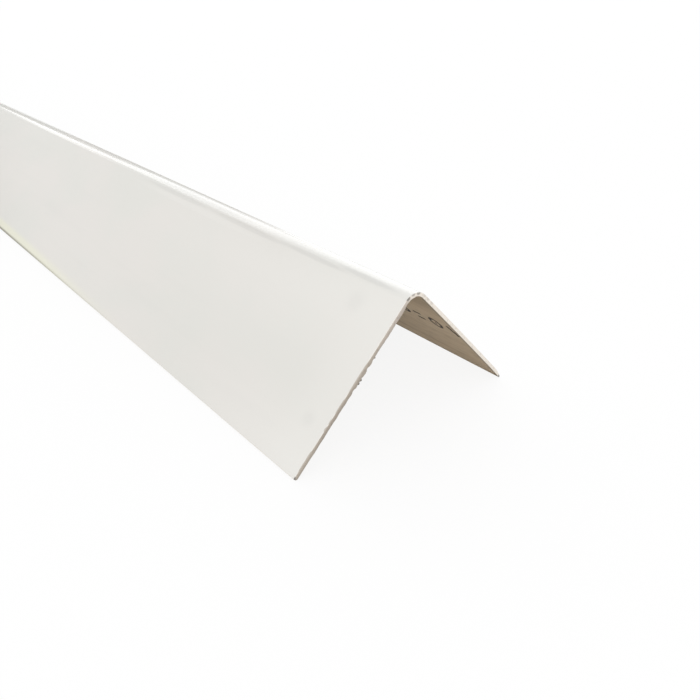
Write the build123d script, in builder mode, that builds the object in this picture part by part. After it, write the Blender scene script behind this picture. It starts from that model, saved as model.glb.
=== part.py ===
"""Corner flashing: one length of white rigid vinyl angle, lying on its two toe edges.

Frame: +Y along the length, +Z up, +X towards the right leg, floor at Z = 0.
The end that was sawn by hand faces -Y.
"""
from build123d import *
from math import cos, radians, sin
import os

# Driving dimensions, in millimetres and degrees
stock_length = 3048.0
leg_width = 76.2
wall_thickness = 1.524
ridge_radius = 6.35
toe_edge_radius = 0.4
angle_between_legs = 88.0

# The outer face, as the corners of an inverted V: toe, sharp ridge line, toe
half_angle = radians(angle_between_legs / 2)
toe_x = leg_width * sin(half_angle)
ridge_over_toe = leg_width * cos(half_angle)

# The rounded inner edge of each toe is the lowest point, and it touches the floor
inner_edge_drop = (wall_thickness - toe_edge_radius) * sin(half_angle)
edge_round_lift = toe_edge_radius * (1 - cos(half_angle))
toe_z = inner_edge_drop + edge_round_lift
ridge_z = toe_z + ridge_over_toe

# The angle: its outer face thickened inwards to one even wall, with its toe edges eased
with BuildPart() as corner_flashing:
    with BuildSketch(Plane.XZ) as section:
        with BuildLine():
            FilletPolyline(
                (-toe_x, toe_z),
                (0, ridge_z),
                (toe_x, toe_z),
                radius=ridge_radius,
            )
            offset(amount=wall_thickness, side=Side.RIGHT)
        make_face()
        toe_corners = section.vertices().sort_by(Axis.Y)[:4]
        fillet(toe_corners, radius=toe_edge_radius)
    extrude(amount=stock_length / 2, both=True)

corner_flashing.part.label = "corner_flashing"
corner_flashing.part.color = Color(0.90, 0.89, 0.87)

os.makedirs("parts", exist_ok=True)
export_step(corner_flashing.part, "parts/corner_flashing.step")
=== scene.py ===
"""Looks of the corner flashing: a white vinyl angle with one sawn end, on a pale studio floor.

Everything is in metres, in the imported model's frame: +Y along the length, away from the sawn end,
+Z up, the left leg on -X and the right leg on +X, the floor at Z = 0. A place on a leg is its
distance along the leg from the sharp ridge line, where the two outer faces would meet.
"""

import math

import bmesh
import bpy
import numpy as np
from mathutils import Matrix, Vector, noise


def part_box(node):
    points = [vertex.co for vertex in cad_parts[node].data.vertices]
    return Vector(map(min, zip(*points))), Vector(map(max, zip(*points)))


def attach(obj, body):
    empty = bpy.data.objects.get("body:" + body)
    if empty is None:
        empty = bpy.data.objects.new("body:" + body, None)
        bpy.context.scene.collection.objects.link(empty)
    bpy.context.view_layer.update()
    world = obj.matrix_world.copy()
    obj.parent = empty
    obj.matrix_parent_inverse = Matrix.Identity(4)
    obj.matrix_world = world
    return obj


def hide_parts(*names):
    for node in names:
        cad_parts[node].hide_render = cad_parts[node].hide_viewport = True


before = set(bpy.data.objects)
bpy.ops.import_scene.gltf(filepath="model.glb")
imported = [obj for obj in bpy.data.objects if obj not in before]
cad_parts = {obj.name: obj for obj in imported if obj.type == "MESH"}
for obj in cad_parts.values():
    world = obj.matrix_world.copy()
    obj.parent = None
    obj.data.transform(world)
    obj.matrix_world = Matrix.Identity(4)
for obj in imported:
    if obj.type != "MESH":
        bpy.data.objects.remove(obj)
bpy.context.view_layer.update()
part_low, part_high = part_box("corner_flashing")
MM = 0.001
LEFT, RIGHT = -1, 1

# The angle's own sizes
LEG_WIDTH = 76.2 * MM
WALL = 1.524 * MM
RIDGE_RADIUS = 6.35 * MM
TOE_EDGE_RADIUS = 0.4 * MM
HALF_ANGLE = math.radians(44.0)
SIN_HALF, COS_HALF = math.sin(HALF_ANGLE), math.cos(HALF_ANGLE)
TANGENT_LENGTH = RIDGE_RADIUS / math.tan(HALF_ANGLE)
TOE_Z = (WALL - TOE_EDGE_RADIUS) * SIN_HALF + TOE_EDGE_RADIUS * (1 - COS_HALF)
RIDGE_Z = TOE_Z + LEG_WIDTH * COS_HALF
ARC_CENTRE_Z = RIDGE_Z - RIDGE_RADIUS / SIN_HALF
RIDGE_TOP_Z = ARC_CENTRE_Z + RIDGE_RADIUS
SAWN_Y, FACTORY_Y = part_low.y, part_high.y

# Camera, placed from the photograph's perspective: azimuth from +Y towards +X, and pitch down
CAMERA_FROM_SAWN_END = Vector((-0.15393, -0.15129, 0.15050))
CAMERA_AZIMUTH = math.radians(39.62)
CAMERA_PITCH = math.radians(29.09)
# Its lens and sensor width are in millimetres, as Blender takes them, and its clipping is in metres
CAMERA_LENS, CAMERA_SENSOR = 36.0, 36.0
CAMERA_NEAR, CAMERA_FAR = 0.01, 200.0

# The skin's mesh: spacing of its columns across the section and of its stations along the length
COLUMN_STEP = 0.4 * MM
ARC_STEPS = 36
TOE_STEPS = 5
WALL_SHARES = (0.0, 0.16, 0.33, 0.5, 0.67, 0.8, 0.88, 1.0)
FIRST_STEP = 0.12 * MM
STEP_GROWTH = 1.22
LONGEST_STEP = 60 * MM
# Edges that turn by more than this stay sharp
SHARP_TURN = math.radians(32)
# The skin's finishes, in the order of its materials
OUTER, INNER, SAWN, SAWN_RIM, FACTORY = range(5)

# The saw left the end a little out of flat: the face wanders and is grooved, and its outer edge is
# broken. A scale is in noise features to the millimetre, and a row keeps one noise apart from another.
SAW_WANDER, WANDER_SCALE, WANDER_ROW = 0.05 * MM, 0.06, 2.0
SAW_GROOVES, GROOVE_SCALE = 0.03 * MM, 1.1
BROKEN_DEPTH, BROKEN_UNEVEN, BROKEN_SCALE, BROKEN_ROW = 0.08 * MM, 0.05 * MM, 0.5, 9.0
# How far the grooves slant and change from the outer face to the inner one, in features
GROOVE_SLANT, GROOVE_CHANGE = 2.5, 1.5
# The skin takes this unevenness up over a short stretch of the length
CUT_DEPTH = 6 * MM
# The burr on the inner edge: its reach along the length, and the power by which it grows inwards
BURR_REACH, BURR_POWER = 0.5 * MM, 1.5
# Its even height on the left leg, which starts at one share of the leg width and rises within another
BURR_EVEN, BURR_START, BURR_RISE = 0.27 * MM, 0.09, 0.03
# Its ragged height, and how far the raggedness shows in the lumps and on the right leg
BURR_RAGGED, RAGGED_SCALE, RAGGED_ROW = 0.10 * MM, 0.9, 5.0
LUMP_RAGGED, RIGHT_RAGGED = 0.3, 0.35
# Burrs on the left leg's inner edge: share of the leg width from the ridge line, half-length, height.
# Where a piece of the burr has broken off, the height is negative.
BURRS = (
    (0.150, 3.0 * MM, 0.22 * MM),
    (0.225, 2.8 * MM, 0.22 * MM),
    (0.263, 1.2 * MM, 0.18 * MM),
    (0.290, 1.0 * MM, 0.12 * MM),
    (0.362, 0.6 * MM, 0.14 * MM),
    (0.398, 1.1 * MM, 0.38 * MM),
    (0.422, 0.8 * MM, -0.18 * MM),
    (0.447, 1.6 * MM, 0.36 * MM),
    (0.491, 0.9 * MM, 0.18 * MM),
    (0.517, 0.9 * MM, 0.24 * MM),
    (0.536, 1.0 * MM, -0.22 * MM),
    (0.560, 1.2 * MM, 0.12 * MM),
    (0.606, 1.0 * MM, 0.14 * MM),
    (0.680, 1.6 * MM, 0.12 * MM),
    (0.778, 2.4 * MM, 0.14 * MM),
    (0.845, 2.6 * MM, 0.14 * MM),
)
# Chips in the left leg's outer edge, given the same way, with their depth along the length
CHIPS = (
    (0.478, 5.5 * MM, 0.10 * MM),
    (0.625, 2.6 * MM, 0.08 * MM),
    (0.705, 0.9 * MM, 0.07 * MM),
    (0.743, 0.9 * MM, 0.24 * MM),
    (0.878, 1.6 * MM, 0.12 * MM),
    (0.925, 2.6 * MM, 0.05 * MM),
)
# The right leg's toe at the cut is worn round on its outside, and pressed a little inwards. Each
# starts at a share of the leg width, goes so far at the toe, and reaches so far along the length.
WORN_FROM, WORN_DEPTH, WORN_LENGTH, WORN_POWER = 0.92, 0.85 * MM, 4 * MM, 1.5
PRESSED_FROM, PRESSED_BY, PRESSED_LENGTH = 0.6, 0.5 * MM, 60 * MM
# Each leg waves a little inwards along its length, with this many noise features to the metre
SWAY, SWAY_PLACE, SWAY_HALF = 0.18 * MM, 0.55 * LEG_WIDTH, 0.4 * LEG_WIDTH
SWAY_SCALE, SWAY_ROW = 3.1, 3.0
# The right leg bows outwards near the cut
BOW, BOW_PLACE, BOW_HALF, BOW_LENGTH = 0.12 * MM, 0.42 * LEG_WIDTH, 0.4 * LEG_WIDTH, 40 * MM
# Crumbs of vinyl that cling to the burr: share of the leg width, radius
CRUMBS = ((0.364, 0.22 * MM), (0.480, 0.40 * MM), (0.499, 0.36 * MM))
# How far a crumb's middle is from the end plane, in radii, and its stretch on each axis
CRUMB_FROM_END, CRUMB_STRETCH = 1.1, (1.3, 0.8, 1.3)
# A crumb's lumps: the share by which it varies, and the noise features to the radius of that
CRUMB_LUMPS, CRUMB_LUMP_SCALE = 0.35, 1.7


def add_camera():
    data = bpy.data.cameras.new("camera")
    data.lens = CAMERA_LENS
    data.sensor_width = CAMERA_SENSOR
    data.clip_start = CAMERA_NEAR
    data.clip_end = CAMERA_FAR
    camera = bpy.data.objects.new("camera", data)
    camera.location = Vector((0, SAWN_Y, 0)) + CAMERA_FROM_SAWN_END
    camera.rotation_euler = (math.radians(90) - CAMERA_PITCH, 0, -CAMERA_AZIMUTH)
    bpy.context.scene.collection.objects.link(camera)
    bpy.context.scene.camera = camera


def add_object(name, mesh):
    made = bpy.data.objects.new(name, mesh)
    bpy.context.scene.collection.objects.link(made)
    return made


def ripple(x, y):
    """Smooth noise between -1 and 1, the same on each run."""
    return noise.noise(Vector((x, y, 0)))


def swell(x, y):
    """Smooth noise between 0 and 1."""
    return 0.5 + 0.5 * ripple(x, y)


def fade(distance, length):
    """1 at no distance, dying away smoothly over about this length."""
    return math.exp(-((distance / length) ** 2))


def bump(distance, half_length):
    """1 at the middle of a bump, falling smoothly to 0 at its ends."""
    share = abs(distance) / half_length
    return math.cos(share * math.pi / 2) ** 2 if share < 1 else 0.0


def lump(distance, half_length):
    """Like a bump, but with a rounder top and steeper ends."""
    return math.sqrt(1 - min(1.0, abs(distance) / half_length) ** 2)


def into_wall(side):
    """Direction from a leg's outer face to its inner one, as (x, z)."""
    return np.array([-side * COS_HALF, -SIN_HALF])


def on_leg(side, along, depth):
    """A point (x, z) on a leg, at this depth below its outer face."""
    outer = np.array([side * along * SIN_HALF, RIDGE_Z - along * COS_HALF])
    return outer + depth * into_wall(side)


def leg_place(side, along, from_cut=0.0, depth=0.0):
    """A point (x, y, z) on a leg, this far from the cut and this deep below its outer face."""
    x, z = on_leg(side, along, depth)
    return x, SAWN_Y + from_cut, z


def leg_column(side, along, inset):
    """A column through the wall, from its outer to its inner point, inset from both faces."""
    return on_leg(side, along, inset), on_leg(side, along, WALL - inset), into_wall(side)


def arc_column(turn):
    """A column through the ridge's bend, turn radians from straight up."""
    outwards = np.array([math.sin(turn), math.cos(turn)])
    centre = np.array([0.0, ARC_CENTRE_Z])
    return centre + RIDGE_RADIUS * outwards, centre + (RIDGE_RADIUS - WALL) * outwards, -outwards


def section_columns():
    """Columns from the left toe to the right one: (side, place on the leg, outer, inner, inwards)."""
    # Places on a leg with their insets: first the toe's round edge, then the flat up to the bend
    toe = []
    for k in range(TOE_STEPS + 1):
        swing = math.radians(90) * k / TOE_STEPS
        along = LEG_WIDTH - TOE_EDGE_RADIUS * (1 - math.cos(swing))
        toe.append((along, TOE_EDGE_RADIUS * (1 - math.sin(swing))))
    flat = LEG_WIDTH - TOE_EDGE_RADIUS - TANGENT_LENGTH
    steps = round(flat / COLUMN_STEP)
    leg = toe + [(TANGENT_LENGTH + flat * (1 - k / steps), 0.0) for k in range(1, steps)]
    half_turn = math.radians(90) - HALF_ANGLE
    columns = [(LEFT, along, *leg_column(LEFT, along, inset)) for along, inset in leg]
    for k in range(ARC_STEPS + 1):
        turn = half_turn * (2 * k / ARC_STEPS - 1)
        along = TANGENT_LENGTH * abs(turn) / half_turn
        columns.append((math.copysign(1, turn), along, *arc_column(turn)))
    columns += [(RIGHT, along, *leg_column(RIGHT, along, inset)) for along, inset in reversed(leg)]
    return columns


def stations():
    """Places along the length, close together at the sawn end and wider apart further on."""
    places = [0.0]
    step = FIRST_STEP
    while places[-1] < FACTORY_Y - SAWN_Y:
        places.append(places[-1] + step)
        step = min(step * STEP_GROWTH, LONGEST_STEP)
    return np.array(places) * (FACTORY_Y - SAWN_Y) / places[-1]


def bumps(places, side, along, shape=bump):
    """The height at this place of a list of bumps, which are all on the left leg."""
    if side == RIGHT:
        return 0.0
    return sum(high * shape(along - share * LEG_WIDTH, half) for share, half, high in places)


def burr_height(side, along):
    """The burr on the inner edge: lumps on an even one that starts past the bend, all a bit ragged."""
    ragged = ripple(side * along / MM * RAGGED_SCALE, RAGGED_ROW)
    rough = BURR_RAGGED * max(0.0, ragged)
    if side == RIGHT:
        return RIGHT_RAGGED * rough
    even = BURR_EVEN * min(1.0, max(0.0, along / LEG_WIDTH - BURR_START) / BURR_RISE)
    return even + bumps(BURRS, side, along, lump) * (1 + LUMP_RAGGED * ragged) + rough


def saw_recess(side, along, share):
    """How far the sawn face lies behind the end plane, at this share of the wall's thickness."""
    across = side * along / MM
    wander = SAW_WANDER * swell(across * WANDER_SCALE, WANDER_ROW)
    slanted = across * GROOVE_SCALE + GROOVE_SLANT * share
    grooves = SAW_GROOVES * (1 + ripple(slanted, GROOVE_CHANGE * share))
    recess = wander + grooves
    if share == 0.0:
        broken = BROKEN_DEPTH + BROKEN_UNEVEN * ripple(across * BROKEN_SCALE, BROKEN_ROW)
        recess += broken + bumps(CHIPS, side, along)
    return recess


def sway(side, along, y):
    """How far a leg sways inwards from its flat shape at y from the cut, less the right leg's bow."""
    inwards = SWAY * bump(along - SWAY_PLACE, SWAY_HALF) * swell(side * SWAY_ROW, y * SWAY_SCALE)
    if side == LEFT:
        return inwards
    return inwards - BOW * bump(along - BOW_PLACE, BOW_HALF) * fade(y, BOW_LENGTH)


def past(share, side, along):
    """On the right leg, how far a place is past this share of its width: 0 there, 1 at the toe."""
    return max(0.0, along / LEG_WIDTH - share) / (1 - share) if side == RIGHT else 0.0


def worn_corner(side, along, y):
    """How far the right toe's outer edge is worn down at the cut."""
    return WORN_DEPTH * past(WORN_FROM, side, along) ** WORN_POWER * fade(y, WORN_LENGTH)


def pressed(side, along, y):
    """How far the right toe is pushed towards the left one near the cut."""
    return PRESSED_BY * past(PRESSED_FROM, side, along) ** 2 * fade(y, PRESSED_LENGTH)


def skin_point(column, share, y):
    """The skin's point at this share of the wall's thickness, and y from the cut."""
    side, along, outer, inner, inwards = column
    near_end = max(0.0, 1 - y / CUT_DEPTH)
    inner_half = max(0.0, 2 * share - 1) ** BURR_POWER
    burr = burr_height(side, along) * inner_half * fade(y, BURR_REACH)
    inwards_by = burr + sway(side, along, y) + worn_corner(side, along, y) * (1 - share)
    flat = outer * (1 - share) + inner * share + inwards * inwards_by
    recess = saw_recess(side, along, share) * near_end if near_end else 0.0
    point = np.array([flat[0] - pressed(side, along, y), SAWN_Y + y + recess, flat[1]])
    return tuple(np.clip(point, part_low, part_high))


def end_zone(column, row, last_row):
    """The sawn end's finish: a broken outer rim, and a painted shade line on the right leg's inner
    edge.
    """
    if row == 0:
        return SAWN_RIM
    return INNER if row == last_row - 1 and column[0] == RIGHT else SAWN


def build_skin():
    """The whole angle as one closed mesh: the section's rim swept along the stations, and two ends."""
    columns = section_columns()
    along = stations()
    last_column, last_row, last = len(columns) - 1, len(WALL_SHARES) - 1, len(along) - 1
    rim = [(c, 0) for c in range(last_column + 1)]
    rim += [(last_column, r) for r in range(1, last_row)]
    rim += [(c, last_row) for c in reversed(range(last_column + 1))]
    rim += [(0, r) for r in reversed(range(1, last_row))]
    inside = [(c, r) for c in range(1, last_column) for r in range(1, last_row)]
    verts, index = [], {}
    for k, y in enumerate(along):
        for c, r in rim + (inside if k in (0, last) else []):
            index[c, r, k] = len(verts)
            verts.append(skin_point(columns[c], WALL_SHARES[r], y))
    faces, zones = [], []
    for k in range(last):
        for a, b in zip(rim, rim[1:] + rim[:1]):
            corners = (a + (k,), b + (k,), b + (k + 1,), a + (k + 1,))
            faces.append(tuple(index[corner] for corner in corners))
            zones.append(INNER if a[1] == last_row and b[1] == last_row else OUTER)
    for c in range(last_column):
        for r in range(last_row):
            corners = [(c, r), (c + 1, r), (c + 1, r + 1), (c, r + 1)]
            faces.append(tuple(index[corner + (0,)] for corner in reversed(corners)))
            faces.append(tuple(index[corner + (last,)] for corner in corners))
            zones += [end_zone(columns[c], r, last_row), FACTORY]
    mesh = bpy.data.meshes.new("angle")
    mesh.from_pydata(verts, [], faces)
    mesh.polygons.foreach_set("material_index", zones)
    mesh.polygons.foreach_set("use_smooth", [True] * len(faces))
    mesh.set_sharp_from_angle(angle=SHARP_TURN)
    mesh.validate()
    return add_object("vinyl_angle", mesh)


def build_crumbs():
    """Small torn crumbs that cling to the burr on the left leg's inner end edge."""
    shape = bmesh.new()
    for share, radius in CRUMBS:
        along = share * LEG_WIDTH
        depth = WALL + burr_height(LEFT, along) + radius
        centre = Vector(leg_place(LEFT, along, CRUMB_FROM_END * radius, depth))
        made = bmesh.ops.create_icosphere(shape, subdivisions=3, radius=radius)
        for vert in made["verts"]:
            lumps = 1 + CRUMB_LUMPS * noise.noise(vert.co / radius * CRUMB_LUMP_SCALE + centre / MM)
            stretched = [place * stretch for place, stretch in zip(vert.co, CRUMB_STRETCH)]
            vert.co = centre + Vector(stretched) * lumps
    for face in shape.faces:
        face.smooth = True
    mesh = bpy.data.meshes.new("crumbs")
    shape.to_mesh(mesh)
    shape.free()
    return add_object("saw_crumbs", mesh)


# The ink row on the right leg's inner face: plain bars, rings, dots and dashes, repeated along it
INK_LIFT, INK_SINK = 0.05 * MM, 0.05 * MM
# A stroke's width, the share by which it varies, and the noise features to the millimetre of that
INK_STROKE, INK_UNEVEN, INK_SCALE = 1.4 * MM, 0.35, 0.8
# No ink comes nearer to the cut than this
INK_FROM_CUT = 0.6 * MM
# The row's middle on the leg, its height, the pitch of its marks, where the first row starts, how
# far on the next one does, and the room that each needs
ROW_PLACE = 0.446 * LEG_WIDTH
ROW_HEIGHT = 0.0975 * LEG_WIDTH
MARK_PITCH = 7.4 * MM
ROW_FROM_CUT, ROW_REPEAT, ROW_ROOM = 2.6 * MM, 508 * MM, 8 * MARK_PITCH
# Points along each kind of mark, and corners of a stroke's section
BAR_POINTS, DASH_POINTS, RING_POINTS = 9, 7, 36
RIBBON_SIDES = 4


def ink_bar(y, low, high, lean):
    """A bar across the row from low to high in shares of its height, leaning along the length."""
    shares = np.linspace(low, high, BAR_POINTS)
    return [(y + lean * share * ROW_HEIGHT, ROW_PLACE + share * ROW_HEIGHT) for share in shares], False


def ink_dash(y, height, half=0.25):
    """A short stroke along the length, its height and half-length in shares of the row's height."""
    shares = np.linspace(-half, half, DASH_POINTS)
    return [(y + share * ROW_HEIGHT, ROW_PLACE + height * ROW_HEIGHT) for share in shares], False


def ink_ring(y, wide=0.34, high=0.45):
    """A ring in the middle of the row, its half-axes in shares of the row's height."""
    half_length, half_height = wide * ROW_HEIGHT, high * ROW_HEIGHT
    turns = np.linspace(0, 2 * math.pi, RING_POINTS, endpoint=False)
    return [
        (y + half_length * math.cos(turn), ROW_PLACE + half_height * math.sin(turn)) for turn in turns
    ], True


def ink_row(start):
    """One row's strokes, placed in mark pitches from its start."""
    return [
        ink_bar(start, low=-0.4, high=0.6, lean=-0.3),
        ink_ring(start + 1.1 * MARK_PITCH),
        ink_dash(start + 1.1 * MARK_PITCH, height=0.0, half=0.04),
        ink_dash(start + 2.3 * MARK_PITCH, height=-0.3),
        ink_dash(start + 2.3 * MARK_PITCH, height=0.3),
        ink_ring(start + 3.3 * MARK_PITCH, wide=0.2, high=0.26),
        ink_bar(start + 4.2 * MARK_PITCH, low=-0.45, high=0.45, lean=0.9),
        ink_bar(start + 4.7 * MARK_PITCH, low=-0.45, high=0.45, lean=0.9),
        ink_dash(start + 5.6 * MARK_PITCH, height=0.0, half=0.35),
        ink_ring(start + 6.7 * MARK_PITCH),
    ]


def ink_strokes():
    """The strokes of all rows, as (path of (y, place on the leg), whether it is closed)."""
    strokes = []
    start = SAWN_Y + ROW_FROM_CUT
    while start < FACTORY_Y - ROW_ROOM:
        strokes += ink_row(start)
        start += ROW_REPEAT
    return strokes


def ribbon_corners(y, along, dy, da):
    """The corners of a stroke's section at one point of its path, whose direction there is (dy, da)."""
    half = INK_STROKE / 2 * (1 + INK_UNEVEN * ripple(y / MM * INK_SCALE, along / MM * INK_SCALE))
    y = max(y, SAWN_Y + INK_FROM_CUT + half)
    face_depth = WALL + sway(RIGHT, along, y - SAWN_Y)
    corners = []
    for offset, lift in ((-half, -INK_SINK), (-half, INK_LIFT), (half, INK_LIFT), (half, -INK_SINK)):
        x, z = on_leg(RIGHT, along + offset * dy, face_depth + lift)
        corners.append((x, y - offset * da, z))
    return corners


def ribbon_faces(first, count, closed):
    """The faces of a ribbon with this many sections, whose corners start at the first vertex."""
    faces = []
    for k in range(count if closed else count - 1):
        a, b = first + RIBBON_SIDES * k, first + RIBBON_SIDES * ((k + 1) % count)
        for corner in range(RIBBON_SIDES):
            following = (corner + 1) % RIBBON_SIDES
            faces.append((a + corner, b + corner, b + following, a + following))
    if not closed:
        last = first + RIBBON_SIDES * (count - 1)
        faces.append(tuple(range(first, first + RIBBON_SIDES)))
        faces.append(tuple(reversed(range(last, last + RIBBON_SIDES))))
    return faces


def build_ink():
    """Each stroke is a thin flat ribbon of ink, sunk a little into the vinyl."""
    verts, faces = [], []
    for path, closed in ink_strokes():
        points = np.array(path)
        if closed:
            slope = np.roll(points, -1, 0) - np.roll(points, 1, 0)
        else:
            slope = np.gradient(points, axis=0)
        slope /= np.linalg.norm(slope, axis=1)[:, None]
        faces += ribbon_faces(len(verts), len(points), closed)
        for (y, along), (dy, da) in zip(points, slope):
            verts += ribbon_corners(y, along, dy, da)
    mesh = bpy.data.meshes.new("ink")
    mesh.from_pydata(verts, [], faces)
    mesh.validate()
    return add_object("ink_marks", mesh)


class Shader:
    """A material's node tree, with short ways to add the nodes that the finishes below use."""

    def __init__(self, name, roughness, specular=0.5):
        self.material = bpy.data.materials.new(name)
        self.material.use_nodes = True
        self.nodes = self.material.node_tree.nodes
        self.links = self.material.node_tree.links
        self.surface = self.nodes["Principled BSDF"]
        self.surface.inputs["Roughness"].default_value = roughness
        self.surface.inputs["Specular IOR Level"].default_value = specular
        self.place = self.nodes.new("ShaderNodeTexCoord").outputs["Object"]

    def scaled(self, scale, origin=(0, 0, 0)):
        """Object coordinates measured from an origin, and multiplied by scale on each axis."""
        shift = self.nodes.new("ShaderNodeVectorMath")
        shift.operation = "SUBTRACT"
        self.links.new(self.place, shift.inputs[0])
        shift.inputs[1].default_value = origin
        stretch = self.nodes.new("ShaderNodeVectorMath")
        stretch.operation = "MULTIPLY"
        self.links.new(shift.outputs[0], stretch.inputs[0])
        stretch.inputs[1].default_value = scale
        return stretch.outputs[0]

    def clouds(self, scale, detail=3.0):
        """Noise from 0 to 1, with scale features to the metre on each axis."""
        texture = self.nodes.new("ShaderNodeTexNoise")
        texture.inputs["Scale"].default_value = 1.0
        texture.inputs["Detail"].default_value = detail
        self.links.new(self.scaled(scale), texture.inputs["Vector"])
        return texture.outputs["Fac"]

    def patch(self, centre, radii):
        """A soft ellipsoid: 1 at its centre, 0 at these radii."""
        texture = self.nodes.new("ShaderNodeTexGradient")
        texture.gradient_type = "QUADRATIC_SPHERE"
        self.links.new(self.scaled([1 / radius for radius in radii], centre), texture.inputs["Vector"])
        return texture.outputs["Fac"]

    def ramp(self, value, low, high, to_low=0.0, to_high=1.0):
        """Maps low to to_low and high to to_high smoothly, and holds them beyond."""
        node = self.nodes.new("ShaderNodeMapRange")
        node.interpolation_type = "SMOOTHSTEP"
        self.links.new(value, node.inputs["Value"])
        node.inputs["From Min"].default_value = low
        node.inputs["From Max"].default_value = high
        node.inputs["To Min"].default_value = to_low
        node.inputs["To Max"].default_value = to_high
        return node.outputs["Result"]

    def mixed(self, share, first, second):
        """Blends from the first colour to the second; each is a colour or another node's output."""
        node = self.nodes.new("ShaderNodeMix")
        node.data_type = "RGBA"
        self.links.new(share, node.inputs["Factor"])
        # The node's sockets 6 and 7, and its output 2, are the ones for colours
        for colour, socket in ((first, node.inputs[6]), (second, node.inputs[7])):
            if isinstance(colour, tuple):
                socket.default_value = (*colour, 1)
            else:
                self.links.new(colour, socket)
        return node.outputs[2]

    def marked(self, colour, tint, centre, radii, full, strength, start=0.0):
        """The colour with a soft mark on it, which is as strong as given where its patch is full."""
        patch = self.patch(centre, radii)
        return self.mixed(self.ramp(patch, start, full, to_high=strength), colour, tint)

    def sum(self, first, second, weight):
        """The first value plus this weight of the second."""
        node = self.nodes.new("ShaderNodeMath")
        node.operation = "MULTIPLY_ADD"
        self.links.new(second, node.inputs[0])
        node.inputs[1].default_value = weight
        self.links.new(first, node.inputs[2])
        return node.outputs[0]

    def along(self, axis):
        """The place along one of the axes X, Y and Z."""
        split = self.nodes.new("ShaderNodeSeparateXYZ")
        self.links.new(self.place, split.inputs[0])
        return split.outputs[axis]

    def depth(self, side):
        """How deep a place lies below this leg's outer face."""
        x, z = into_wall(side)
        node = self.nodes.new("ShaderNodeVectorMath")
        node.operation = "DOT_PRODUCT"
        self.links.new(self.scaled((1, 1, 1), origin=(0, 0, RIDGE_Z)), node.inputs[0])
        node.inputs[1].default_value = (x, 0, z)
        return node.outputs["Value"]

    def finish(self, colour, relief, height, roughness=None):
        """Joins up the colour, a relief of this height in metres and, if given, the roughness."""
        self.links.new(colour, self.surface.inputs["Base Color"])
        node = self.nodes.new("ShaderNodeBump")
        node.inputs["Strength"].default_value = 1.0
        node.inputs["Distance"].default_value = height
        self.links.new(relief, node.inputs["Height"])
        self.links.new(node.outputs["Normal"], self.surface.inputs["Normal"])
        if roughness is not None:
            self.links.new(roughness, self.surface.inputs["Roughness"])
        return self.material


# Linear colours
WHITE_COOL = (0.762, 0.763, 0.730)
WHITE_WARM = (0.784, 0.769, 0.740)
WHITE_LIGHTER = (0.842, 0.837, 0.808)
# Painted warm reflection and painted shadow along the left toe
WARM_REFLECTION_TINT = (0.840, 0.845, 0.690)
TOE_SHADOW = (0.200, 0.190, 0.140)
# Grime, also used for the painted shade along the inner faces' cut edge
GRIME_AND_SHADE = (0.200, 0.185, 0.170)
CREAM = (0.820, 0.785, 0.735)
RIM_WHITE = (0.850, 0.845, 0.820)
# Dark spots on the sawn edge, also used for the painted shade at the right toe's inner corner
DARK_SPOT = (0.210, 0.200, 0.190)
# Grey for scuffs and streaks, also used for the painted shade lines beside the ridge's highlight
SCUFF_AND_SHADE_GREY = (0.620, 0.620, 0.605)
CRUMB = (0.080, 0.070, 0.060)
SAWN_GREY = (0.440, 0.400, 0.350)
SAWN_DULL = (0.395, 0.354, 0.310)
SAWN_PALE = (0.510, 0.465, 0.425)
# The inner face: a cream with a painted tan of warm bounce, a dark tone for its mottling and streaks
# and for painted shade, and a painted shade brown towards the cut
INSIDE_LIGHT = (0.830, 0.735, 0.590)
INSIDE_DARK = (0.330, 0.275, 0.200)
INSIDE_SHADE_BROWN = (0.515, 0.435, 0.330)
INK = (0.040, 0.030, 0.022)


def outer_height(x):
    """The outer edge's height over the floor at this place across the section."""
    if abs(x) < RIDGE_RADIUS * COS_HALF:
        return ARC_CENTRE_Z + math.sqrt(RIDGE_RADIUS**2 - x**2)
    return RIDGE_Z - abs(x) * COS_HALF / SIN_HALF


# The outer faces are lighter along the cut, and in patches whose middles are on the left leg at the
# cut: height over the floor, radii on X, Y and Z
LIGHTER_STRETCH, LIGHTER_STRENGTH = 28 * MM, 0.65
LIGHTER_PATCHES = (
    (46 * MM, (60 * MM, 270 * MM, 60 * MM)),
    (4 * MM, (32 * MM, 110 * MM, 32 * MM)),
)
# Painted shade: faint darker lines on the left side of the ridge's bend, beside its highlight: place
# along X, place from the cut, half-length
SHADE_LINES = (
    (-3.0 * MM, 22 * MM, 24 * MM),
    (-2.4 * MM, 145 * MM, 75 * MM),
    (-4.2 * MM, 52 * MM, 32 * MM),
    (-4.7 * MM, 98 * MM, 48 * MM),
    (-4.7 * MM, 160 * MM, 50 * MM),
)
SHADE_LINE_HALF_WIDTH = 1.7 * MM
# Faint dull spots on the left leg: place on the leg, place from the cut, radius
DULL_SPOTS = (
    (0.184 * LEG_WIDTH, 20 * MM, 9 * MM),
    (0.748 * LEG_WIDTH, 9 * MM, 6 * MM),
)
# A faint painted light line beside the painted shade lines, and a painted warm reflection and a painted
# shadow along the left toe: place on the leg, place from the cut, radii on X, Y and Z
PAINTED_LIGHT_LINE = (0.122 * LEG_WIDTH, 140 * MM, (2.2 * MM, 95 * MM, 2.2 * MM))
WARM_REFLECTION_BAND = (LEG_WIDTH, 400 * MM, (8 * MM, 340 * MM, 8 * MM))
SHADOW_LINE = (LEG_WIDTH, 430 * MM, (3 * MM, 460 * MM, 3 * MM))
# The painted warm reflection's middle is this much higher than the toe
WARM_REFLECTION_LIFT = 1 * MM


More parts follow.
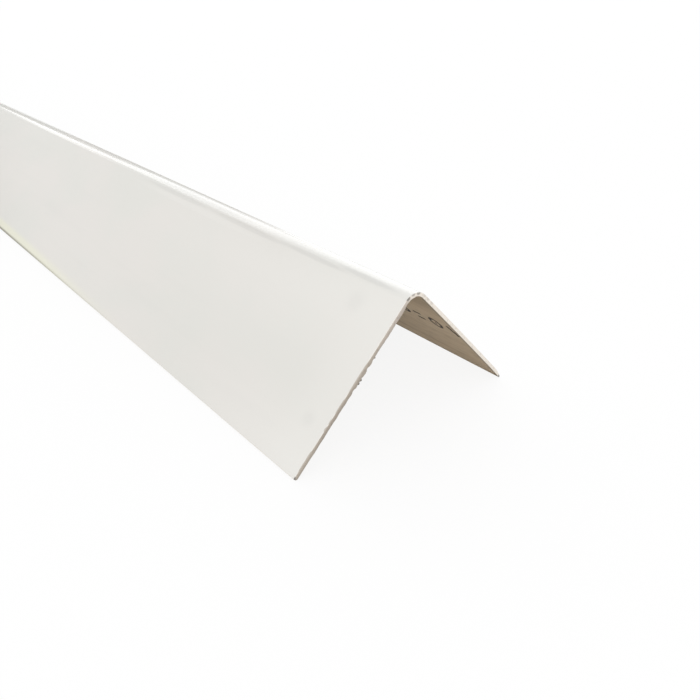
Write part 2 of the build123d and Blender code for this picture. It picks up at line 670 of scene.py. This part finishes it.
def outer_vinyl():
    """Glossy white vinyl: clouds, streaks and die lines, lighter by the cut. Painted shade and light
    lines lie beside the ridge's highlight, and a painted warm reflection and a painted shadow along a
    toe.
    """
    look = Shader("vinyl_outer", roughness=0.14)
    die_lines = look.clouds((700, 2, 700), detail=2.0)
    relief = look.sum(die_lines, look.clouds((110, 22, 110), detail=1.0), weight=8.0)
    warm = look.ramp(look.clouds((30, 18, 30)), low=0.35, high=0.65)
    colour = look.mixed(warm, WHITE_COOL, WHITE_WARM)
    streaks = look.ramp(look.clouds((110, 7, 110)), low=0.5, high=0.8, to_high=0.12)
    colour = look.mixed(streaks, colour, SCUFF_AND_SHADE_GREY)
    lighter_end = SAWN_Y + LIGHTER_STRETCH
    by_cut = look.ramp(look.along("Y"), SAWN_Y, lighter_end, to_low=LIGHTER_STRENGTH, to_high=0.0)
    colour = look.mixed(by_cut, colour, WHITE_LIGHTER)
    for z, radii in LIGHTER_PATCHES:
        x = (z - RIDGE_Z) * SIN_HALF / COS_HALF
        colour = look.mixed(look.patch((x, SAWN_Y, z), radii), colour, WHITE_LIGHTER)
    # Painted shade lines beside the ridge's highlight
    for x, from_cut, half_length in SHADE_LINES:
        centre = (x, SAWN_Y + from_cut, outer_height(x))
        radii = (SHADE_LINE_HALF_WIDTH, half_length, SHADE_LINE_HALF_WIDTH)
        colour = look.marked(colour, SCUFF_AND_SHADE_GREY, centre, radii, full=0.35, strength=0.32)
    # A painted light line beside them
    along, from_cut, radii = PAINTED_LIGHT_LINE
    centre = leg_place(LEFT, along, from_cut)
    colour = look.marked(colour, WHITE_LIGHTER, centre, radii, full=0.4, strength=0.35)
    for along, from_cut, radius in DULL_SPOTS:
        centre = leg_place(LEFT, along, from_cut)
        colour = look.marked(colour, SCUFF_AND_SHADE_GREY, centre, [radius] * 3, full=0.7, strength=0.15)
    # Painted warm reflection along the left toe
    along, from_cut, radii = WARM_REFLECTION_BAND
    x, y, z = leg_place(LEFT, along, from_cut)
    colour = look.marked(colour, WARM_REFLECTION_TINT, (x, y, z + WARM_REFLECTION_LIFT), radii, full=0.3, strength=0.8)
    # Painted shadow along the left toe
    along, from_cut, radii = SHADOW_LINE
    centre = leg_place(LEFT, along, from_cut)
    colour = look.marked(colour, TOE_SHADOW, centre, radii, full=0.5, strength=0.85, start=0.08)
    rough = look.ramp(look.clouds((60, 20, 60)), low=0.3, high=0.7, to_low=0.12, to_high=0.17)
    return look.finish(colour, relief, height=0.003 * MM, roughness=rough)


# The inner faces' painted shade: where along Y the brown towards the cut fades away and the dark cut
# edge ends, where along Z the shade at the bend comes in, and the radii of the shade at the right toe
CUT_SHADE_FADES = (SAWN_Y - 20 * MM, SAWN_Y + 52 * MM)
EDGE_SHADE_FADES = (SAWN_Y + 0.3 * MM, SAWN_Y + 1.6 * MM)
BEND_SHADE_RISES = (RIDGE_TOP_Z - 15 * MM, RIDGE_TOP_Z - 8 * MM)
TOE_SHADE_RADII = (7 * MM, 5 * MM, 7 * MM)


def inner_vinyl():
    """The matt inner face: a cream with a painted tan of warm bounce, mottled and streaked along the
    length, with painted shade browner towards the cut, at the bend, at the right toe and along the cut
    edge.
    """
    look = Shader("vinyl_inner", roughness=0.85, specular=0.2)
    streaks = look.clouds((450, 9, 450))
    # Painted shade: browner towards the cut
    shade_by_cut = look.ramp(look.along("Y"), *CUT_SHADE_FADES, to_low=1.0, to_high=0.0)
    colour = look.mixed(shade_by_cut, INSIDE_LIGHT, INSIDE_SHADE_BROWN)
    mottled = look.ramp(look.clouds((600, 220, 600), detail=4.0), low=0.45, high=0.75, to_high=0.3)
    colour = look.mixed(mottled, colour, INSIDE_DARK)
    colour = look.mixed(look.ramp(streaks, low=0.5, high=0.75, to_high=0.2), colour, INSIDE_DARK)
    # Painted shade at the bend
    colour = look.mixed(look.ramp(look.along("Z"), *BEND_SHADE_RISES, to_high=0.5), colour, INSIDE_DARK)
    # Painted shade at the right toe
    toe = leg_place(RIGHT, LEG_WIDTH, depth=WALL)
    colour = look.marked(colour, INSIDE_DARK, toe, TOE_SHADE_RADII, full=0.4, strength=0.8)
    # Painted shade along the cut edge
    edge = look.ramp(look.along("Y"), *EDGE_SHADE_FADES, to_low=0.6, to_high=0.0)
    colour = look.mixed(edge, colour, GRIME_AND_SHADE)
    rough = look.ramp(streaks, low=0.3, high=0.7, to_low=0.75, to_high=0.9)
    return look.finish(colour, streaks, height=0.02 * MM, roughness=rough)


# Dark spots on the sawn end's outer edge: place along X, radius, strength
EDGE_DARK_SPOTS = (
    (-52.9 * MM, 1.6 * MM, 0.9),
    (-3.4 * MM, 1.5 * MM, 0.9),
    (-1.0 * MM, 1.4 * MM, 0.6),
    (1.5 * MM, 1.5 * MM, 0.7),
    (4.6 * MM, 1.4 * MM, 0.25),
    (6.4 * MM, 1.4 * MM, 0.3),
    (8.4 * MM, 1.5 * MM, 0.25),
)
# A spot of painted shade on the right toe's inner corner: radius, strength
TOE_SHADE_SPOT_RADIUS, TOE_SHADE_SPOT_STRENGTH = 2.7 * MM, 0.9


def with_dark_spots(look, colour):
    """The colour with the outer edge's dark spots, and painted shade on the right toe's inner corner.
    """
    marks = [((x, SAWN_Y, outer_height(x)), radius, strength) for x, radius, strength in EDGE_DARK_SPOTS]
    marks.append((leg_place(RIGHT, LEG_WIDTH, depth=WALL), TOE_SHADE_SPOT_RADIUS, TOE_SHADE_SPOT_STRENGTH))
    for centre, radius, strength in marks:
        colour = look.marked(colour, DARK_SPOT, centre, [radius] * 3, full=0.3, strength=strength)
    return colour


# The left leg's sawn face along X, from its grey toe: where a colour starts to come in, where it is
# full, the colour
SAWN_ZONES = (
    (-44 * MM, -40 * MM, SAWN_DULL),
    (-34 * MM, -22 * MM, SAWN_GREY),
    (-22 * MM, -9 * MM, SAWN_PALE),
)
# Its tints by depth in the wall: between which depths they change, their strength at each, the colour
SAWN_TINTS = (
    (0.3 * MM, 1.0 * MM, 0.2, 0.0, CREAM),
    (0.9 * MM, 1.4 * MM, 0.0, 0.18, GRIME_AND_SHADE),
)
# Where along X the cream of the right leg comes in, on the sawn face and on its rim
FACE_TURNS_CREAM = (-4.8 * MM, -1.0 * MM)
RIM_TURNS_CREAM = (-6 * MM, 0.0)
# A chip's colour reaches this much further than the chip
CHIP_SPREAD = 1.5


def sawn_vinyl():
    """The sawn face: grey on the left leg, paler outside and by the ridge, cream on the right leg."""
    look = Shader("vinyl_sawn", roughness=0.7, specular=0.3)
    x = look.along("X")
    specks = look.clouds([1100] * 3, detail=4.0)
    colour = SAWN_GREY
    for start, full, tint in SAWN_ZONES:
        colour = look.mixed(look.ramp(x, start, full), colour, tint)
    depth = look.depth(LEFT)
    for low, high, to_low, to_high, tint in SAWN_TINTS:
        colour = look.mixed(look.ramp(depth, low, high, to_low, to_high), colour, tint)
    colour = look.mixed(look.ramp(x, *FACE_TURNS_CREAM), colour, CREAM)
    colour = look.mixed(look.ramp(specks, low=0.52, high=0.72, to_high=0.3), colour, GRIME_AND_SHADE)
    scratches = look.clouds((2600, 500, 300), detail=2.0)
    return look.finish(with_dark_spots(look, colour), scratches, height=0.04 * MM)


def sawn_rim():
    """The broken outer edge of the sawn face: white with duller chips, and cream on the right leg."""
    look = Shader("vinyl_sawn_rim", roughness=0.5)
    specks = look.clouds([1500] * 3)
    colour = look.mixed(look.ramp(look.along("X"), *RIM_TURNS_CREAM), RIM_WHITE, CREAM)
    colour = look.mixed(look.ramp(specks, low=0.5, high=0.8, to_high=0.6), colour, SAWN_PALE)
    for share, half_length, _ in CHIPS:
        centre, radii = leg_place(LEFT, share * LEG_WIDTH), [CHIP_SPREAD * half_length] * 3
        colour = look.marked(colour, SAWN_GREY, centre, radii, full=0.2, strength=0.8)
    return look.finish(with_dark_spots(look, colour), specks, height=0.03 * MM)


def factory_vinyl():
    """The far end, cut clean at the factory."""
    look = Shader("vinyl_factory_cut", roughness=0.45)
    specks = look.clouds([900] * 3)
    colour = look.mixed(specks, WHITE_COOL, CREAM)
    return look.finish(colour, look.clouds((2200, 400, 300), detail=2.0), height=0.02 * MM)


def crumb_vinyl():
    """Torn crumbs, dark with grime."""
    look = Shader("vinyl_crumb", roughness=0.7)
    specks = look.clouds([2400] * 3)
    return look.finish(look.mixed(specks, CRUMB, GRIME_AND_SHADE), specks, height=0.05 * MM)


def ink():
    """Brown-black printer's ink, worn thin in places."""
    look = Shader("ink", roughness=0.7, specular=0.15)
    worn = look.ramp(look.clouds([1300] * 3, detail=4.0), low=0.55, high=0.8, to_high=0.35)
    colour = look.mixed(worn, INK, INSIDE_SHADE_BROWN)
    return look.finish(colour, look.clouds([2500] * 3), height=0.01 * MM)


# The studio: half the floor's side, and the pale colour that it throws back on the object. The floor
# is seen white, and this share of that white glows, so that the shadow on it stays light.
FLOOR_HALF = 60.0
FLOOR_BOUNCE = (0.78, 0.70, 0.61)
FLOOR_GLOW = 0.88
# The world's strength as light on the object; the background shows it at 1
WORLD_LIGHT = 0.84
WHITE = (1, 1, 1, 1)


def background_rays(nodes, links):
    """1 for rays that see the background, straight or in a reflection, and 0 for the light's own."""
    ray = nodes.new("ShaderNodeLightPath")
    share = ray.outputs["Is Camera Ray"]
    for other in ("Is Glossy Ray", "Is Transmission Ray"):
        either = nodes.new("ShaderNodeMath")
        either.operation = "MAXIMUM"
        links.new(share, either.inputs[0])
        links.new(ray.outputs[other], either.inputs[1])
        share = either.outputs[0]
    return share


def add_floor():
    """A pale floor, seen white apart from the object's light shadow."""
    half = FLOOR_HALF
    mesh = bpy.data.meshes.new("floor")
    corners = [(-half, -half, 0), (half, -half, 0), (half, half, 0), (-half, half, 0)]
    mesh.from_pydata(corners, [], [(0, 1, 2, 3)])
    floor = add_object("floor", mesh)
    made = bpy.data.materials.new("floor_white")
    made.use_nodes = True
    made.cycles.emission_sampling = "NONE"
    nodes, links = made.node_tree.nodes, made.node_tree.links
    nodes.clear()
    bounce, seen = nodes.new("ShaderNodeBsdfDiffuse"), nodes.new("ShaderNodeBsdfDiffuse")
    bounce.inputs["Color"].default_value = (*FLOOR_BOUNCE, 1)
    seen.inputs["Color"].default_value = WHITE
    glow = nodes.new("ShaderNodeEmission")
    shown, both = nodes.new("ShaderNodeMixShader"), nodes.new("ShaderNodeMixShader")
    shown.inputs[0].default_value = FLOOR_GLOW
    links.new(seen.outputs[0], shown.inputs[1])
    links.new(glow.outputs[0], shown.inputs[2])
    links.new(background_rays(nodes, links), both.inputs[0])
    links.new(bounce.outputs[0], both.inputs[1])
    links.new(shown.outputs[0], both.inputs[2])
    output = nodes.new("ShaderNodeOutputMaterial")
    links.new(both.outputs[0], output.inputs["Surface"])
    floor.data.materials.append(made)


def add_world():
    """A soft even light from all sides, seen as white."""
    world = bpy.data.worlds.new("studio")
    bpy.context.scene.world = world
    world.use_nodes = True
    nodes, links = world.node_tree.nodes, world.node_tree.links
    strength = nodes.new("ShaderNodeMapRange")
    links.new(background_rays(nodes, links), strength.inputs["Value"])
    strength.inputs["To Min"].default_value = WORLD_LIGHT
    nodes["Background"].inputs["Color"].default_value = WHITE
    links.new(strength.outputs["Result"], nodes["Background"].inputs["Strength"])


def studio_place(distance, azimuth, elevation):
    """A place in the studio, as seen from the sawn end: azimuth from +Y towards +X."""
    turn, rise = math.radians(azimuth), math.radians(elevation)
    level = distance * math.cos(rise)
    return Vector((level * math.sin(turn), SAWN_Y + level * math.cos(turn), distance * math.sin(rise)))


# Lamps: name, azimuth, elevation, width and height in degrees as the part sees them, radiance.
# The back and side ones draw the bright band along the ridge, and the strip carries it on along the
# far part. The front one fills the inner faces.
SOFTBOX_DISTANCE = 12.0
SOFTBOXES = (
    ("back_softbox", 31.0, 30.0, 60.0, 23.0, 1.4),
    ("side_softbox", 52.0, 8.0, 28.0, 22.0, 1.0),
    ("front_softbox", -150.0, 10.0, 42.0, 30.0, 2.8),
    ("strip_lamp", -4.0, 20.0, 11.0, 5.0, 1.3),
)


def add_softbox(name, azimuth, elevation, width, height, radiance):
    """A rectangular lamp that faces the sawn end."""
    data = bpy.data.lights.new(name, "AREA")
    data.shape = "RECTANGLE"
    data.size = 2 * SOFTBOX_DISTANCE * math.tan(math.radians(width / 2))
    data.size_y = 2 * SOFTBOX_DISTANCE * math.tan(math.radians(height / 2))
    data.energy = radiance * math.pi * data.size * data.size_y
    lamp = bpy.data.objects.new(name, data)
    lamp.location = studio_place(SOFTBOX_DISTANCE, azimuth, elevation)
    aim = Vector((0, SAWN_Y, 0)) - lamp.location
    lamp.rotation_euler = aim.to_track_quat("-Z", "Y").to_euler()
    lamp.visible_camera = False
    bpy.context.scene.collection.objects.link(lamp)


# Grey cards that only reflections see draw the darker lines beside that band. The screen and the flag
# stand this far off, and their edges are azimuths and elevations in degrees.
CARD_DISTANCE = 9.0
SCREEN_LEFT, SCREEN_RIGHT, SCREEN_ROUNDED, SCREEN_STEPS = -30.0, 37.0, 10.0, 45
SCREEN_TOP, SCREEN_HUMP, SCREEN_HUMP_AT, SCREEN_HUMP_HALF = 13.5, 8.0, 12.5, 17.0
SCREEN_SLOPE_LEFT = 0.15
SCREEN_LIFT, SCREEN_LIFT_END, SCREEN_LIFT_RAMP = 8.0, 22.0, 4.0
SCREEN_GREY = 0.44
FLAG_CORNERS = (
    (-29.0, 40.0),
    (-25.0, 29.0),
    (-14.0, 26.0),
    (-9.0, 40.0),
    (17.0, 44.0),
    (10.0, 50.0),
    (-20.0, 50.0),
)
FLAG_GREY = 0.5
# The low card stands on the floor along the hidden side: its distance from the ridge line, its ends
LOW_CARD_X, LOW_CARD_START, LOW_CARD_END = 160 * MM, SAWN_Y + 280 * MM, SAWN_Y + 600 * MM
LOW_CARD_GREY = 0.76


def add_card(name, verts, faces, grey):
    """A card of one grey, seen only in reflections."""
    mesh = bpy.data.meshes.new(name)
    mesh.from_pydata(verts, [], faces)
    card = add_object(name, mesh)
    made = bpy.data.materials.new(name + "_grey")
    made.use_nodes = True
    surface = made.node_tree.nodes["Principled BSDF"]
    surface.inputs["Base Color"].default_value = (grey, grey, grey, 1)
    surface.inputs["Roughness"].default_value = 1.0
    card.data.materials.append(made)
    card.visible_camera = False
    card.visible_diffuse = False
    card.visible_shadow = False


def screen_top(azimuth):
    """The elevation of the screen's top edge: sloping on the left, a hump, rounded off on the right."""
    hump = SCREEN_HUMP * bump(azimuth - SCREEN_HUMP_AT, SCREEN_HUMP_HALF)
    past_corner = max(0.0, azimuth - SCREEN_RIGHT + SCREEN_ROUNDED) / SCREEN_ROUNDED
    slope = SCREEN_SLOPE_LEFT * min(0.0, azimuth)
    return (SCREEN_TOP + slope + hump) * math.sqrt(1 - min(1.0, past_corner) ** 2)


def screen_bottom(azimuth):
    """The elevation of the screen's bottom edge: on the floor at the right end, raised elsewhere."""
    return SCREEN_LIFT * min(1.0, max(0.0, SCREEN_LIFT_END - azimuth) / SCREEN_LIFT_RAMP)


def add_cards():
    azimuths = np.linspace(SCREEN_LEFT, SCREEN_RIGHT, SCREEN_STEPS)
    verts = [studio_place(CARD_DISTANCE, azimuth, screen_bottom(azimuth)) for azimuth in azimuths]
    verts += [studio_place(CARD_DISTANCE, azimuth, screen_top(azimuth)) for azimuth in azimuths]
    faces = [(k, k + 1, k + 1 + SCREEN_STEPS, k + SCREEN_STEPS) for k in range(SCREEN_STEPS - 1)]
    add_card("screen", verts, faces, SCREEN_GREY)
    flag = [studio_place(CARD_DISTANCE, *corner) for corner in FLAG_CORNERS]
    add_card("flag", flag, [tuple(range(len(flag)))], FLAG_GREY)
    low = [(LOW_CARD_X, LOW_CARD_START, 0), (LOW_CARD_X, LOW_CARD_END, 0)]
    high = [(LOW_CARD_X, LOW_CARD_END, RIDGE_TOP_Z), (LOW_CARD_X, LOW_CARD_START, RIDGE_TOP_Z)]
    add_card("low_card", low + high, [(0, 1, 2, 3)], LOW_CARD_GREY)


add_camera()
angle = build_skin()
for finish in (outer_vinyl, inner_vinyl, sawn_vinyl, sawn_rim, factory_vinyl):
    angle.data.materials.append(finish())
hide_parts("corner_flashing")
crumbs = build_crumbs()
crumbs.data.materials.append(crumb_vinyl())
ink_marks = build_ink()
ink_marks.data.materials.append(ink())
for piece in (angle, crumbs, ink_marks):
    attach(piece, "root")
add_floor()
add_world()
for softbox in SOFTBOXES:
    add_softbox(*softbox)
add_cards()

bpy.context.scene.view_settings.view_transform = "Standard"
